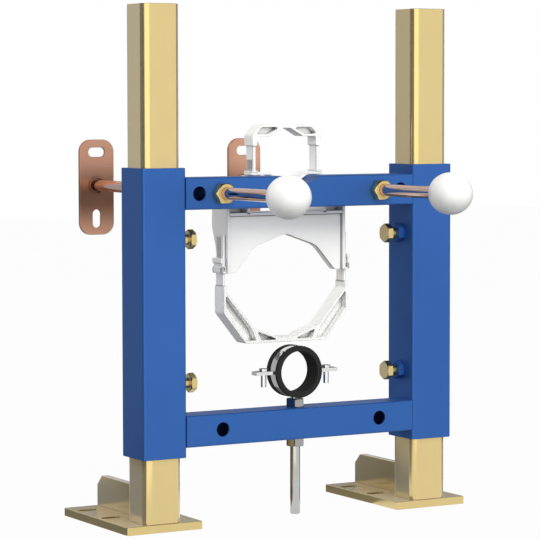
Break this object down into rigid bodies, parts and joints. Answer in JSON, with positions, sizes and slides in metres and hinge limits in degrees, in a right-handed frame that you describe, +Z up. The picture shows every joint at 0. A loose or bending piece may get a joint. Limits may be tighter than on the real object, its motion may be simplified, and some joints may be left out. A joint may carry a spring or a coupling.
{
  "type": "height-adjustable wall hung toilet frame",
  "caption": "Low floor frame for a wall hung toilet: sleeves and rails sliding on square legs, wall studs with plates, strapped pipe bracket and rubber-lined pipe clamp.",
  "frame": {"origin": "on the floor, in the middle of the floor slots of both feet", "axes": "+Z up, +Y to the wall behind, -Y to the front where the bowl hangs, X along the rails"},
  "size_m": [0.3884, 0.4303, 0.508],
  "materials": {
    "gold_steel": "satin yellow zinc over square tube and plate",
    "blue_paint": "satin powder coat",
    "gold_zinc": "yellow zinc, semi-bright",
    "copper_steel": "bright coppery plating",
    "copper_plate": "brushed copper-coloured plating",
    "white_cap": "smooth white moulding",
    "white_plastic": "fine matte white moulding",
    "black_rubber": "matte black rubber",
    "bright_zinc": "bright zinc plating"
  },
  "bodies": {
    "frame": {"right_sleeve": "blue_paint", "left_sleeve": "blue_paint", "right_lower_lock_nut": "blue_paint", "left_lower_lock_nut": "blue_paint", "right_lower_lock_bolt": "gold_zinc", "left_lower_lock_bolt": "gold_zinc", "right_upper_lock_nut": "blue_paint", "left_upper_lock_nut": "blue_paint", "right_upper_lock_bolt": "gold_zinc", "left_upper_lock_bolt": "gold_zinc", "right_stud": "copper_steel", "left_stud": "copper_steel", "right_front_stud_nut": "gold_zinc", "left_front_stud_nut": "gold_zinc", "right_rear_stud_nut": "gold_zinc", "left_rear_stud_nut": "gold_zinc", "right_ball_cap": "white_cap", "left_ball_cap": "white_cap", "right_wall_plate": "copper_plate", "left_wall_plate": "copper_plate", "top_rail": "blue_paint", "bottom_rail": "blue_paint", "pipe_bracket": "white_plastic", "upper_clamp_nut": "bright_zinc", "lower_clamp_nut": "bright_zinc"},
    "right_leg": {"right_post": "gold_steel", "right_foot_plate": "gold_steel", "right_foot_gusset": "gold_steel"},
    "left_leg": {"left_post": "gold_steel", "left_foot_plate": "gold_steel", "left_foot_gusset": "gold_steel"},
    "drain_holder": {"drain_strap": "white_plastic"},
    "flush_holder": {"flush_strap": "white_plastic"},
    "pipe_clamp": {"clamp_lining": "black_rubber", "upper_clamp_band": "bright_zinc", "lower_clamp_band": "bright_zinc", "clamp_rod": "bright_zinc", "right_clamp_screw": "bright_zinc", "left_clamp_screw": "bright_zinc"}
  },
  "joints": [
    {"name": "right_leg_slide", "type": "slide", "parent": "frame", "child": "right_leg", "axis": [0, 0, 1], "range_m": [-0.15, 0.025]},
    {"name": "left_leg_slide", "type": "slide", "parent": "frame", "child": "left_leg", "axis": [0, 0, 1], "range_m": [-0.15, 0.025]},
    {"name": "drain_strap_slide", "type": "slide", "parent": "frame", "child": "drain_holder", "axis": [0, 0, 1], "range_m": [-0.02, 0.007]},
    {"name": "flush_strap_slide", "type": "slide", "parent": "frame", "child": "flush_holder", "axis": [0, 0, 1], "range_m": [-0.018, 0.008]},
    {"name": "pipe_clamp_slide", "type": "slide", "parent": "frame", "child": "pipe_clamp", "axis": [0, 0, 1], "range_m": [0, 0.05]}
  ]
}
